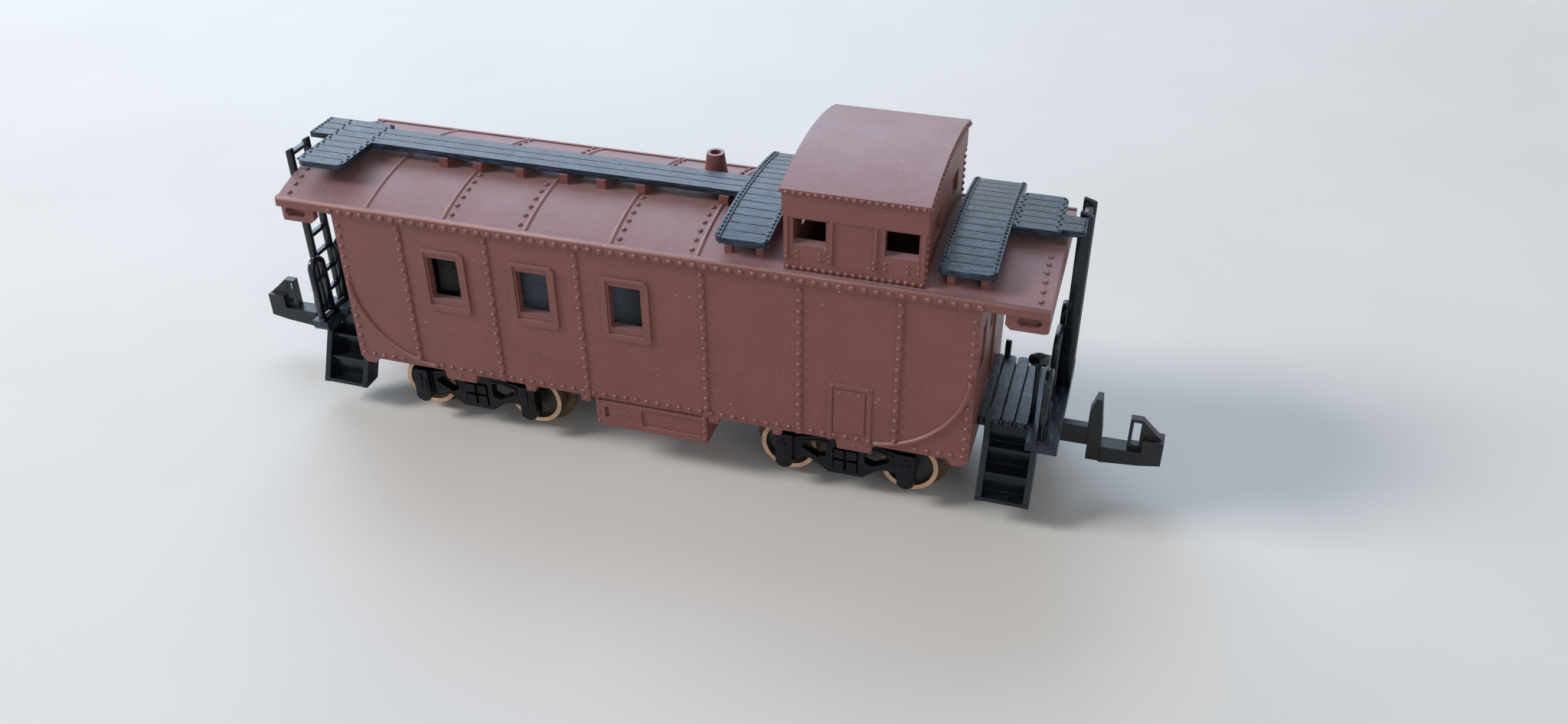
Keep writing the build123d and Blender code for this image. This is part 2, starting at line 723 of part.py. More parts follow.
RAILING = (
    # from y, to y, counted towards the ladder's side
    (-RAIL_HALF, -3.9),
    (-0.9, LADDER_IN_Y + RAIL_BAR),
    (LADDER_OUT_Y - RAIL_BAR, RAIL_HALF),
)


def railing(end):
    bars = None
    for y0, y1 in RAILING:
        arch = along_x(railing_arch(y0, y1), end["rail_in"], end["rail_out"])
        bars = arch if bars is None else bars + arch
    bars += block(end["rail_in"], end["rail_out"], -RAIL_HALF, RAIL_HALF, DECK_TOP, DECK_TOP + RAIL_FOOT)
    if end["side"] < 0:
        bars = other_side(bars)
    return bars if end["way"] > 0 else other_end(bars)


def ladder(end):
    x0 = end["rail_out"]
    x1 = end["ladder_out"]
    face = outline((x0, DECK_TOP), (x1, DECK_TOP), (x1, LADDER_TOP - LADDER_SLOPE),
                   (x1 - LADDER_SLOPE, LADDER_TOP), (x0, LADDER_TOP))
    stile = along_y(face, LADDER_IN_Y, LADDER_IN_Y + LADDER_BAR)
    shape = stile + Pos(0, LADDER_OUT_Y - LADDER_BAR - LADDER_IN_Y, 0) * stile
    count = int((LADDER_TOP - RUNG_FIRST) / RUNG_STEP) + 1
    middle = (x0 + x1) / 2
    for k in range(count):
        z = RUNG_FIRST + k * RUNG_STEP
        shape += block(middle - RUNG_DEEP / 2, middle + RUNG_DEEP / 2, LADDER_IN_Y, LADDER_OUT_Y, z, z + RUNG)
    if end["side"] < 0:
        shape = other_side(shape)
    return shape if end["way"] > 0 else other_end(shape)


def hand_brake(end):
    """A staff with a dished wheel, as one turned form that stands on the boards or the end beam."""
    off = end["rail_in"] - BRAKE_OFF
    foot = BOARD_TOP if off < DECK_END else DECK_TOP
    section = outline(
        (0, foot), (STAFF_R, foot), (STAFF_R, BRAKE_TOP - BRAKE_THICK),
        (BRAKE_R, BRAKE_TOP - BRAKE_THICK), (BRAKE_R, BRAKE_TOP - BRAKE_RIM), (BRAKE_CROWN_R, BRAKE_TOP),
        (0, BRAKE_TOP),
    )
    y = -end["side"] * BRAKE_Y
    return Pos(end["way"] * off, y, 0) * revolve(Plane.XZ * section, axis=Axis.Z)


# Boxes hung under the middle of both sides

BOX_CUTS = (
    # x from, x to, z from, z to, depth: the gap under the side, the panel and the slot beside it
    (-4.5, 4.85, 6.15, SIDE_LOW, 0.25),
    (-0.6, 4.85, 4.15, 5.9, 0.15),
    (-4.0, -3.65, 4.5, 5.6, 0.25),
)


def side_box(side):
    box = block(BOX_X0, BOX_X1, BOX_IN, BOX_FACE, BOX_LOW_Z, SIDE_LOW)
    for x0, x1, z0, z1, deep in BOX_CUTS:
        box -= block(x0, x1, BOX_FACE - deep, BOX_FACE + PAST, z0, z1)
    box += Pos(BOX_LATCH_X, BOX_FACE, BOX_LATCH_Z) * Rot(0, 6, 0) * Box(1.6, 0.2, 0.14)
    return box if side > 0 else other_side(box)


# Trucks: two side frames on a bolster, with a tongue that carries the coupler

# The side frame's right half as (x, z) from the truck's middle: the straight stretch from its
# top to the inner end of its arm, the arc under the arm, and the hole beside the springs
FRAME_ARM = ((2.3, FRAME_TOP), (4.7, 5.0), (5.9, 5.0), (5.9, 2.9), (4.5, 2.9))
FRAME_ARC = ((4.5, 2.9), (3.6, 3.1), (2.5, 2.75))
FRAME_FOOT = 1.5
HOLE = ((1.65, 4.95), (2.75, 4.95), (3.85, 4.6), (3.8, 4.1), (2.35, 3.3), (1.65, 3.6))


def side_frame_face():
    top = FRAME_ARM[0]
    edges = [Line((-top[0], top[1]), top), Line((-FRAME_FOOT, FRAME_LOW), (FRAME_FOOT, FRAME_LOW))]
    for way in (-1, 1):
        arm = [(way * x, z) for x, z in FRAME_ARM]
        arc = [(way * x, z) for x, z in FRAME_ARC]
        edges += Polyline(*arm).edges()
        edges.append(ThreePointArc(*arc))
        edges.append(Line(arc[-1], (way * FRAME_FOOT, FRAME_LOW)))
    return make_face(edges)


def journal_box(x):
    """Box over the axle's end, with a ridged lid and a round bottom."""
    left = x - BOX_HALF
    right = x + BOX_HALF
    bottom = BOX_LOW + BOX_BULGE
    curve = ThreePointArc((left, bottom), (x, BOX_LOW), (right, bottom))
    sides = Polyline((right, bottom), (right, BOX_TOP), (left, BOX_TOP), (left, bottom))
    box = along_y(make_face(Wire([curve, *sides.edges()])), FRAME_IN, BOX_OUT)
    box += block(x - LID_HALF, x + LID_HALF, BOX_OUT, BOX_OUT + LID_THICK, LID_LOW, LID_TOP)
    return box + block(x - LID_THICK, x + LID_THICK, BOX_OUT, BOX_OUT + 2 * LID_THICK, LID_LOW + RIDGE_IN,
                       BOX_TOP - 2 * RIDGE_IN)


def side_frame():
    plate = along_y(side_frame_face(), FRAME_IN, FRAME_OUT)
    hole = outline(*HOLE)
    rim = along_y(offset(hole, RIM_WIDE, kind=Kind.INTERSECTION), FRAME_OUT, FRAME_OUT + RIM_PROUD)
    cut = along_y(hole, FRAME_IN - PAST, FRAME_OUT + PAST)
    plate += rim + other_end(rim)
    plate -= cut + other_end(cut)
    back = FRAME_OUT - SPRING_DEEP
    plate -= block(-SPRING_HALF, SPRING_HALF, back, FRAME_OUT + PAST, SPRING_LOW, SPRING_TOP)
    half = SPRING_HALF / 2 - SPRING_APART
    for way in (-1, 1):
        x = way * SPRING_HALF / 2
        for z in SPRING_Z:
            plate += block(x - half, x + half, back, FRAME_OUT + RIM_PROUD, z - half, z + half)
        plate += journal_box(way * AXLE_OFFSET)
    mouth = RegularPolygon(CUP_MOUTH, CUP_SIDES, major_radius=False)
    for x in (-AXLE_OFFSET, AXLE_OFFSET):
        plate -= extrude(Pos(x, FRAME_IN, AXLE_Z) * Rot(-90, 0, 0) * mouth, CUP_DEEP, taper=CUP_TAPER)
    return plate


def truck_frame(way):
    plate = side_frame()
    truck = plate + other_side(plate)
    truck += block(-BOLSTER_HALF, BOLSTER_HALF, -FRAME_IN, FRAME_IN, BOLSTER_LOW, BOLSTER_TOP)
    truck += block(0, TONGUE_END, -TONGUE_HALF, TONGUE_HALF, TONGUE_LOW, TONGUE_TOP)
    pin_x = COUPLER_X - TRUCK_X
    stop_top = SHANK_LOW - STOP_GAP
    truck += block(pin_x + STOP_OFF, TONGUE_END, -TONGUE_HALF, TONGUE_HALF, TONGUE_TOP, stop_top)
    cheek = SHANK_HALF + CHEEK_GAP
    for side in (-1, 1):
        truck += block(pin_x - CHEEK_BACK, TONGUE_END, side * cheek, side * (cheek + CHEEK), TONGUE_TOP,
                       SHANK_TOP)
    truck -= rod(0, 0, BOLSTER_LOW, PIN_HOLE_R, 2 * (BOLSTER_TOP - BOLSTER_LOW + PAST), "z")
    truck += rod(pin_x, 0, COUPLER_Z, COUPLER_PIN_R, 2 * (cheek + CHEEK), "y")
    if way < 0:
        truck = other_end(truck)
    return Pos(way * TRUCK_X, 0, 0) * truck


def wheelset(x):
    """Two wheels on an axle with tapered ends, turned from one section."""
    half = (
        # radius, y from the middle of the axle
        (AXLE_R, WHEEL_IN), (FLANGE_R, WHEEL_IN), (FLANGE_R, FLANGE_OUT), (TREAD_R, FLANGE_OUT),
        (TREAD_R, WHEEL_OUT), (RIM_R, WHEEL_OUT), (RIM_R, DISH_Y), (AXLE_R, DISH_Y), (AXLE_TIP_R, AXLE_HALF),
        (0, AXLE_HALF),
    )
    back = [(radius, -y) for radius, y in reversed(half)]
    return Pos(x, 0, AXLE_Z) * revolve(outline(*back, *half), axis=Axis.Y)


# Hook-type couplers

def coupler(way):
    eye_end = COUPLER_X - EYE_BACK
    shank = outline(
        (eye_end, SHANK_LOW), (BEND_X, SHANK_LOW), (BEND_X + BEND, SHANK_DROP), (SHANK_END, SHANK_DROP),
        (SHANK_END, SHANK_TOP), (eye_end, SHANK_TOP),
    )
    fin = outline(
        (SHANK_END, FIN_LOW), (FIN_X, FIN_LOW), (FIN_X, 5.9), (FIN_X - 0.35, FIN_TOP), (FIN_X - 0.8, FIN_TOP),
        (SHANK_END - 0.15, 7.9), (SHANK_END - 0.15, 6.6), (SHANK_END, SHANK_TOP),
    )
    beam = outline(
        (FIN_X, FIN_LOW), (BLOCK_X, BEAM_LOW), (COUPLER_END, BEAM_LOW + 0.3), (COUPLER_END, BLOCK_TOP),
        (BLOCK_X, BLOCK_TOP), (BLOCK_X, BEAM_TOP), (FIN_X, BEAM_TOP),
    )
    hook = outline(
        (HOOK_X, BEAM_TOP), (HOOK_X, HOOK_TOP), (BLOCK_X - 0.2, HOOK_TOP), (BLOCK_X + 0.2, HOOK_TOP - 0.4),
        (COUPLER_END - 0.15, BLOCK_TOP), (BLOCK_X, BLOCK_TOP), (BLOCK_X, BEAM_TOP),
    )
    window = block(HOOK_X + HOOK_WALL, BLOCK_X - HOOK_WALL, -HOOK_HALF, HOOK_HALF, BEAM_TOP + HOOK_SILL,
                   HOOK_TOP - HOOK_WALL)
    shape = along_y(shank, -SHANK_HALF, SHANK_HALF)
    shape -= rod(COUPLER_X, 0, COUPLER_Z, COUPLER_PIN_R + EYE_GAP, 2 * SHANK_HALF + PAST, "y")
    shape += along_y(fin, -FIN_HALF, FIN_HALF)
    shape += along_y(beam, -BEAM_HALF, BEAM_HALF)
    shape += along_y(hook, -HOOK_HALF, HOOK_HALF) - window
    return shape if way > 0 else other_end(shape)


save(body_shell(), "body_shell")
save(roof(), "roof")
save(cupola_walls(), "cupola_walls")
save(cupola_roof(), "cupola_roof")
save(smokejack(), "smokejack")
save(roof_walk(), "roof_walk")
save(cross_walk(CROSS_LEFT), "cross_walk_left")
save(cross_walk(CROSS_RIGHT), "cross_walk_right")
save(end_walk_right(), "end_walk_right")
save(underframe(), "underframe")
save(weight(), "weight")
for side_name, side in (("near", -1), ("far", 1)):
    save(glazing(side), f"glazing_{side_name}")
    save(side_box(side), f"side_box_{side_name}")

for end in ENDS:
    name = end["name"]
    way = end["way"]
    save(platform(end), f"platform_{name}")
    save(steps(end, -1), f"steps_{name}_near")
    save(steps(end, 1), f"steps_{name}_far")
    save(railing(end), f"railing_{name}")
    save(ladder(end), f"ladder_{name}")
    save(hand_brake(end), f"hand_brake_{name}")
    save(truck_pin(way), f"truck_pin_{name}")
    save(truck_frame(way), f"truck_frame_{name}")
    save(coupler(way), f"coupler_{name}")
    for position, off in (("inner", -AXLE_OFFSET), ("outer", AXLE_OFFSET)):
        save(wheelset(way * (TRUCK_X + off)), f"wheelset_{name}_{position}")
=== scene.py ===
import math

import bpy
from mathutils import Matrix, Vector


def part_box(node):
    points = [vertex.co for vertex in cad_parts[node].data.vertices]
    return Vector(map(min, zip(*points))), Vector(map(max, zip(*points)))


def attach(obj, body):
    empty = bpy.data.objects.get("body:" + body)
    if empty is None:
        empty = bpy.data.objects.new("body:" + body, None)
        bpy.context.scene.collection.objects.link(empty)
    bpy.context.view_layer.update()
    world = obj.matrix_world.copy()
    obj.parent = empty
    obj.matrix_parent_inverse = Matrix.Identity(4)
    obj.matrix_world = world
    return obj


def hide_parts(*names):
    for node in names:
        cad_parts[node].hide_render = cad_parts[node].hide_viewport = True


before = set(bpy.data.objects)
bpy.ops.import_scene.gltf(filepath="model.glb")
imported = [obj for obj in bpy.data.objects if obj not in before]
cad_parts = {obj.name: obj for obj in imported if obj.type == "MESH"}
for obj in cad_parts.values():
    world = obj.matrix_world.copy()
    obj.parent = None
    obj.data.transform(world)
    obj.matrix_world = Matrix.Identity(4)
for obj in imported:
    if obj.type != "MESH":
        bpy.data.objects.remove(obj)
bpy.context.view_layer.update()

# Looks of a small model caboose. Sizes are written in millimetres, and turned into metres where
# a mesh, a lamp or a shader takes them. +X runs along the car to the end with the cupola, and -Y
# is the near side.
MM = 0.001
SIDES = (-1, 1)

# Faces of the car that several kinds of pieces stand on
SIDE_Y = 8.15
BATTEN_Y = 8.25
WALK_TOP = 24.42
DECK_TOP = 8.25

# Arc of the roof between its gutters
GUTTER_Y = 8.02
GUTTER_Z = 21.72
CROWN_Z = 23.15

# The car's two ends. A y is counted towards the side that the end's ladder stands on, and an x
# outwards from the middle of the car.
ENDS = (
    dict(name="left", way=-1, side=-1, rail_in=31.9, rail_out=32.5, ladder_out=33.15, board=(26.9, 31.3),
         board_y=(-2.3, 6.3), plank_end=33.3, plank_y=(-2.3, 1.0)),
    dict(name="right", way=1, side=1, rail_in=32.5, rail_out=33.1, ladder_out=34.2, board=(28.3, 32.0),
         board_y=(-1.1, 4.8), plank_end=33.8, plank_y=(-0.7, 1.8)),
)


def srgb(red, green, blue):
    """A colour given as 0 to 255, as linear numbers."""
    out = []
    for value in (red, green, blue):
        c = value / 255
        out.append(c / 12.92 if c <= 0.04045 else ((c + 0.055) / 1.055) ** 2.4)
    return (*out, 1.0)


# Shader nodes. A noise's scale counts its features in a metre.

NOISE_SPAN = (0.3, 0.7)
EDGE_SAMPLES = 6
LINT_LEFT_OUT = 0.72


def add(tree, kind, inputs=None, **settings):
    """One shader node with its settings, and its inputs set or linked."""
    made = tree.nodes.new(kind)
    for key, value in settings.items():
        setattr(made, key, value)
    for key, value in (inputs or {}).items():
        if isinstance(value, bpy.types.NodeSocket):
            tree.links.new(value, made.inputs[key])
        else:
            made.inputs[key].default_value = value
    return made


def start_material(name):
    """A material with its tree, its shader and the place on the object that its textures follow."""
    material = bpy.data.materials.new(name)
    material.use_nodes = True
    tree = material.node_tree
    tree.nodes.clear()
    shader = add(tree, "ShaderNodeBsdfPrincipled")
    output = add(tree, "ShaderNodeOutputMaterial")
    tree.links.new(shader.outputs["BSDF"], output.inputs["Surface"])
    place = add(tree, "ShaderNodeTexCoord").outputs["Object"]
    return material, tree, shader, place


def noise(tree, place, scale, detail, rough):
    """A noise, its values mostly within NOISE_SPAN."""
    made = add(tree, "ShaderNodeTexNoise",
               {"Vector": place, "Scale": scale, "Detail": detail, "Roughness": rough})
    return made.outputs["Fac"]


def ramp(tree, value, low, high):
    """0 below low, 1 above high, smooth between."""
    made = add(tree, "ShaderNodeMapRange", {"Value": value, "From Min": low, "From Max": high})
    made.interpolation_type = "SMOOTHSTEP"
    return made.outputs["Result"]


def spread(tree, value, low, high):
    """A noise's usual span of values turned into one from low to high."""
    made = add(tree, "ShaderNodeMapRange", {"Value": value, "From Min": NOISE_SPAN[0],
                                            "From Max": NOISE_SPAN[1], "To Min": low, "To Max": high})
    return made.outputs["Result"]


def maths(tree, how, first, second=0.0):
    """One step of arithmetic on two values or sockets."""
    made = add(tree, "ShaderNodeMath", operation=how)
    for socket, value in zip(made.inputs, (first, second)):
        if isinstance(value, bpy.types.NodeSocket):
            tree.links.new(value, socket)
        else:
            socket.default_value = value
    return made.outputs[0]


def times(tree, first, second):
    """The product of two values or sockets."""
    return maths(tree, "MULTIPLY", first, second)


def mix(tree, share, first, second):
    """The first colour where the share is 0, and the second where it is 1."""
    made = add(tree, "ShaderNodeMix", data_type="RGBA")
    for socket, value in ((made.inputs[0], share), (made.inputs[6], first), (made.inputs[7], second)):
        if isinstance(value, bpy.types.NodeSocket):
            tree.links.new(value, socket)
        else:
            socket.default_value = value
    return made.outputs[2]


def facing_up(tree):
    """How far the surface looks up, from 0 on a wall to 1 on a floor."""
    normal = add(tree, "ShaderNodeNewGeometry").outputs["True Normal"]
    return add(tree, "ShaderNodeSeparateXYZ", {"Vector": normal}).outputs["Z"]


def relief(tree, shader, heights, depth, strength, edge):
    """Adds up the heights as a relief of some depth, over edges rounded by edge in millimetres."""
    total = heights[0]
    for more in heights[1:]:
        total = maths(tree, "ADD", total, more)
    soft = add(tree, "ShaderNodeBevel", {"Radius": edge * MM}, samples=EDGE_SAMPLES)
    made = add(tree, "ShaderNodeBump", {"Height": total, "Distance": depth * MM, "Strength": strength,
                                        "Normal": soft.outputs["Normal"]})
    tree.links.new(made.outputs["Normal"], shader.inputs["Normal"])


def lint(tree, place, scale, size):
    """Sparse pale specks, as of dust grains and lint."""
    cells = add(tree, "ShaderNodeTexVoronoi", {"Vector": place, "Scale": scale})
    near = maths(tree, "LESS_THAN", cells.outputs["Distance"], size)
    split = add(tree, "ShaderNodeSeparateColor", {"Color": cells.outputs["Color"]})
    return times(tree, near, maths(tree, "GREATER_THAN", split.outputs[0], LINT_LEFT_OUT))


# Red plastic. The roof's ridges are paler than the rest, as a painted highlight along them. What looks up
# is mixed towards lilac, a painted sheen. Brown dust lies on the roof beside the walk, from none at the
# first distance off the middle to most at the second.

OXIDE_RED = (srgb(114, 66, 62), srgb(121, 72, 68))
# Paler red of the ridges and eave beads: a painted highlight along their tops
RIDGE_HIGHLIGHT_RED = (srgb(152, 106, 100), srgb(168, 122, 116))
RED_SPECKS = srgb(142, 98, 94)
# Lilac mixed onto what looks up: a painted sheen, as of a pale sky reflected
LILAC_PAINTED_SHEEN = srgb(164, 140, 150)
BROWN_DUST = srgb(126, 98, 88)
PALE_LINT = srgb(206, 196, 192)
PALE_GRAINS = srgb(190, 178, 176)
DUST_Y = (7.2, 2.2)
DUST_SHARE = 0.6
RED_ROUGH = (0.4, 0.52)


def near_walk(tree, place):
    """1 beside the roof's long walk, 0 at the gutters and on all that stands above the walk."""
    split = add(tree, "ShaderNodeSeparateXYZ", {"Vector": place})
    off_middle = maths(tree, "ABSOLUTE", split.outputs["Y"])
    on_roof = maths(tree, "LESS_THAN", split.outputs["Z"], WALK_TOP * MM)
    return times(tree, ramp(tree, off_middle, *(y * MM for y in DUST_Y)), on_roof)


def red_plastic(name, tones):
    """Matte oxide red moulding: faint clouding, a painted lilac sheen and brown dust on what looks up, and
    lint.
    """
    material, tree, shader, place = start_material(name)
    clouds = noise(tree, place, scale=260, detail=4.0, rough=0.6)
    colour = mix(tree, ramp(tree, clouds, 0.3, 0.7), *tones)
    fine = noise(tree, place, scale=9000, detail=2.0, rough=0.7)
    colour = mix(tree, times(tree, ramp(tree, fine, 0.35, 0.75), 0.25), colour, RED_SPECKS)
    up = ramp(tree, facing_up(tree), 0.25, 0.95)
    # Painted sheen: what looks up is mixed towards lilac, more in some patches than others
    sheen_patches = noise(tree, place, scale=420, detail=5.0, rough=0.65)
    colour = mix(tree, times(tree, up, spread(tree, sheen_patches, 0.34, 0.48)), colour, LILAC_PAINTED_SHEEN)
    by_walk = near_walk(tree, place)
    patches = ramp(tree, noise(tree, place, scale=330, detail=5.0, rough=0.7), 0.4, 0.62)
    brown = times(tree, times(tree, up, by_walk), times(tree, patches, DUST_SHARE))
    colour = mix(tree, brown, colour, BROWN_DUST)
    colour = mix(tree, times(tree, lint(tree, place, scale=900, size=0.06), 0.6), colour, PALE_LINT)
    grains = times(tree, lint(tree, place, scale=2600, size=0.1), spread(tree, up, 0.35, 0.5))
    colour = mix(tree, grains, colour, PALE_GRAINS)
    tree.links.new(colour, shader.inputs["Base Color"])
    tree.links.new(spread(tree, clouds, *RED_ROUGH), shader.inputs["Roughness"])
    grit = times(tree, noise(tree, place, scale=2500, detail=3.0, rough=0.5), 1.5)
    relief(tree, shader, [fine, grit], depth=0.03, strength=0.6, edge=0.05)
    return material


# Black plastic, with a cool gloss. Planks have a wood grain along x or y, with pale bluish streaks along it
# as a painted highlight.

BLACKS = (
    # name, colour, its worn places, roughness, specular level, axis of the grain, share of dust
    ("plank_walks", srgb(10, 14, 22), srgb(17, 22, 32), 0.26, 0.5, "x", 0.06),
    ("plank_deck", srgb(10, 13, 20), srgb(17, 22, 30), 0.28, 0.5, "y", 0.06),
    ("black_moulding", srgb(11, 13, 19), srgb(20, 24, 32), 0.2, 0.5, None, 0.06),
    ("black_trucks", srgb(6, 7, 11), srgb(13, 15, 20), 0.25, 0.3, None, 0.04),
    ("brown_black_couplers", srgb(24, 21, 21), srgb(36, 32, 31), 0.36, 0.5, None, 0.1),
)
COOL_GLOSS = (0.72, 0.87, 1.0, 1.0)
# Pale bluish streaks on the planks' grain: a painted highlight
GRAIN_PAINTED_HIGHLIGHT = srgb(76, 96, 126)
GRAIN_HIGHLIGHT_SHARE = 0.52
GREY_DUST = srgb(120, 116, 112)
GRAIN_STRETCH = {"x": (0.07, 1.0, 1.0), "y": (1.0, 0.07, 1.0)}


def wood_relief(tree, place, along):
    """Fine wood grain drawn out along one axis, from 0 to 1."""
    mapped = add(tree, "ShaderNodeMapping", {"Vector": place, "Scale": GRAIN_STRETCH[along]})
    coarse = noise(tree, mapped.outputs["Vector"], scale=7000, detail=3.0, rough=0.6)
    fine = noise(tree, mapped.outputs["Vector"], scale=15000, detail=2.0, rough=0.6)
    return maths(tree, "ADD", times(tree, coarse, 0.65), times(tree, fine, 0.35))


def black_plastic(name, colour, worn, rough, level, grain, dust):
    """Black moulding: glossy where smooth, with wood grain where it stands for planks, its streaks a
    painted bluish highlight.
    """
    material, tree, shader, place = start_material(name)
    clouds = noise(tree, place, scale=500, detail=4.0, rough=0.6)
    base = mix(tree, ramp(tree, clouds, 0.35, 0.7), colour, worn)
    heights = [times(tree, noise(tree, place, scale=3000, detail=3.0, rough=0.6), 0.5)]
    depth, strength = 0.02, 0.5
    if grain:
        wood = wood_relief(tree, place, grain)
        heights.append(wood)
        depth, strength = 0.05, 1.0
        # The grain's ridges are mixed towards pale blue: a painted highlight along the wood
        base = mix(tree, times(tree, ramp(tree, wood, 0.49, 0.59), GRAIN_HIGHLIGHT_SHARE), base, GRAIN_PAINTED_HIGHLIGHT)
    shader.inputs["Specular Tint"].default_value = COOL_GLOSS
    shader.inputs["Specular IOR Level"].default_value = level
    up = ramp(tree, facing_up(tree), 0.4, 1.0)
    patches = ramp(tree, noise(tree, place, scale=700, detail=5.0, rough=0.65), 0.45, 0.75)
    base = mix(tree, times(tree, up, times(tree, patches, dust)), base, GREY_DUST)
    tree.links.new(base, shader.inputs["Base Color"])
    tree.links.new(spread(tree, clouds, rough - 0.06, rough + 0.08), shader.inputs["Roughness"])
    relief(tree, shader, heights, depth, strength, edge=0.08)
    return material


# Wheels, weight and glazing. A wheel's dark centre ends between the two radii, and the flat
# outer face of its rim starts just inside the distance from the middle.

RIM_R = (1.98, 2.08)
RIM_FACE_Y = 5.72
RIM_PALE = (srgb(214, 180, 152), srgb(184, 148, 120))
WHEEL_BRONZE = (srgb(96, 78, 58), srgb(70, 56, 42))
WHEEL_CENTRE = srgb(22, 20, 21)
DARK_STEEL = (srgb(34, 35, 39), srgb(58, 60, 66))
GLAZING = (srgb(232, 236, 238), srgb(206, 210, 212))


def wheel_metal(name, centre_x, centre_z):
    """Pale worn faces of the rims, on dark bronze wheels with dark centres."""
    material, tree, shader, place = start_material(name)
    split = add(tree, "ShaderNodeSeparateXYZ", {"Vector": place})
    dx = maths(tree, "SUBTRACT", split.outputs["X"], centre_x)
    dz = maths(tree, "SUBTRACT", split.outputs["Z"], centre_z)
    radius = maths(tree, "SQRT", maths(tree, "ADD", times(tree, dx, dx), times(tree, dz, dz)))
    rim = ramp(tree, radius, *(r * MM for r in RIM_R))
    off_middle = maths(tree, "ABSOLUTE", split.outputs["Y"])
    face = maths(tree, "GREATER_THAN", off_middle, RIM_FACE_Y * MM)
    worn = ramp(tree, noise(tree, place, scale=1800, detail=4.0, rough=0.6), 0.35, 0.7)
    pale = mix(tree, worn, *RIM_PALE)
    bronze = mix(tree, worn, *WHEEL_BRONZE)
    metal = mix(tree, face, bronze, pale)
    tree.links.new(mix(tree, rim, WHEEL_CENTRE, metal), shader.inputs["Base Color"])
    tree.links.new(times(tree, rim, 0.45), shader.inputs["Metallic"])
    shader.inputs["Roughness"].default_value = 0.42
    marks = noise(tree, place, scale=5000, detail=3.0, rough=0.6)
    relief(tree, shader, [marks], depth=0.01, strength=0.5, edge=0.05)
    return material


def steel():
    """Blackened steel of the weight."""
    material, tree, shader, place = start_material("blackened_steel")
    streaks = add(tree, "ShaderNodeMapping", {"Vector": place, "Scale": (0.1, 1.0, 1.0)})
    tone = ramp(tree, noise(tree, streaks.outputs["Vector"], scale=3000, detail=3.0, rough=0.6), 0.3, 0.7)
    tree.links.new(mix(tree, tone, *DARK_STEEL), shader.inputs["Base Color"])
    shader.inputs["Metallic"].default_value = 1.0
    shader.inputs["Roughness"].default_value = 0.45
    return material


def clear_plastic():
    """Clear glazing with a little dust on it."""
    material, tree, shader, place = start_material("clear_glazing")
    patches = ramp(tree, noise(tree, place, scale=900, detail=4.0, rough=0.7), 0.45, 0.75)
    tree.links.new(mix(tree, patches, *GLAZING), shader.inputs["Base Color"])
    shader.inputs["Roughness"].default_value = 0.03
    shader.inputs["Transmission Weight"].default_value = 1.0
    shader.inputs["IOR"].default_value = 1.2
    return material


# Meshes

def piece(name, points, faces, material, slot, body="root", smooth=True):
    """A mesh piece, its points in millimetres, that rides on a body."""
    mesh = bpy.data.meshes.new(name)
    mesh.from_pydata([Vector(p) * MM for p in points], [], faces)
    mesh.validate()
    mesh.materials.append(material)
    mesh.polygons.foreach_set("use_smooth", [smooth] * len(mesh.polygons))
    made = bpy.data.objects.new(name, mesh)
    bpy.context.scene.collection.objects.link(made)
    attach(made, body)
    return made


# Rings of a rivet's head, as shares of its radius and height, and how deep its foot is sunk
DOME_SIDES = 10
DOME_RINGS = ((1.0, 0.0), (0.94, 0.42), (0.68, 0.8), (0.34, 0.96))
DOME_SUNK = 0.03


def domes(name, places, material, slot):
    """Rivet heads as one mesh: each place is (point, outward direction, radius, height)."""
    points = []
    faces = []
    for at, outward, radius, height in places:
        at = Vector(at)
        up = Vector(outward).normalized()
        side = up.orthogonal().normalized()
        across = up.cross(side)
        first = len(points)
        rings = [(1.0, -DOME_SUNK / height), *DOME_RINGS]
        for wide, tall in rings:
            for k in range(DOME_SIDES):
                turn = 2 * math.pi * k / DOME_SIDES
                out = side * math.cos(turn) + across * math.sin(turn)
                points.append(at + out * radius * wide + up * height * tall)
        points.append(at + up * height)
        for ring in range(len(rings) - 1):
            for k in range(DOME_SIDES):
                a = first + ring * DOME_SIDES + k
                b = first + ring * DOME_SIDES + (k + 1) % DOME_SIDES
                faces.append((a, b, b + DOME_SIDES, a + DOME_SIDES))
        last = first + (len(rings) - 1) * DOME_SIDES
        top = len(points) - 1
        for k in range(DOME_SIDES):
            faces.append((last + k, last + (k + 1) % DOME_SIDES, top))
        faces.append(tuple(first + k for k in reversed(range(DOME_SIDES))))
    return piece(name, points, faces, material, slot)


# A bar's section is round at a power of 1, and squarer the nearer it is to 0
BAR_SIDES = 12
BAR_SQUARE = 0.6


def squared(share):
    """A sine or cosine, drawn out from a circle towards a square."""
    return math.copysign(abs(share) ** BAR_SQUARE, share)


def bar(points, faces, x, path, half_x, half):
    """Adds a bar with a rounded square section along a path of (y, z) at one x, closed at its ends."""
    first = len(points)
    path = [Vector(p) for p in path]
    for k, at in enumerate(path):
        before = path[max(k - 1, 0)]
        after = path[min(k + 1, len(path) - 1)]
        ahead = (after - before).normalized()
        for turn in range(BAR_SIDES):
            angle = 2 * math.pi * (turn + 0.5) / BAR_SIDES
            c = squared(math.cos(angle))
            s = squared(math.sin(angle))
            points.append((x + c * half_x, at.x - ahead.y * s * half, at.y + ahead.x * s * half))
    for k in range(len(path) - 1):
        for turn in range(BAR_SIDES):
            a = first + k * BAR_SIDES + turn
            b = first + k * BAR_SIDES + (turn + 1) % BAR_SIDES
            faces.append((a, a + BAR_SIDES, b + BAR_SIDES, b))
    faces.append(tuple(first + turn for turn in range(BAR_SIDES)))
    faces.append(tuple(len(points) - 1 - turn for turn in range(BAR_SIDES)))


BEAD_SIDES = 8


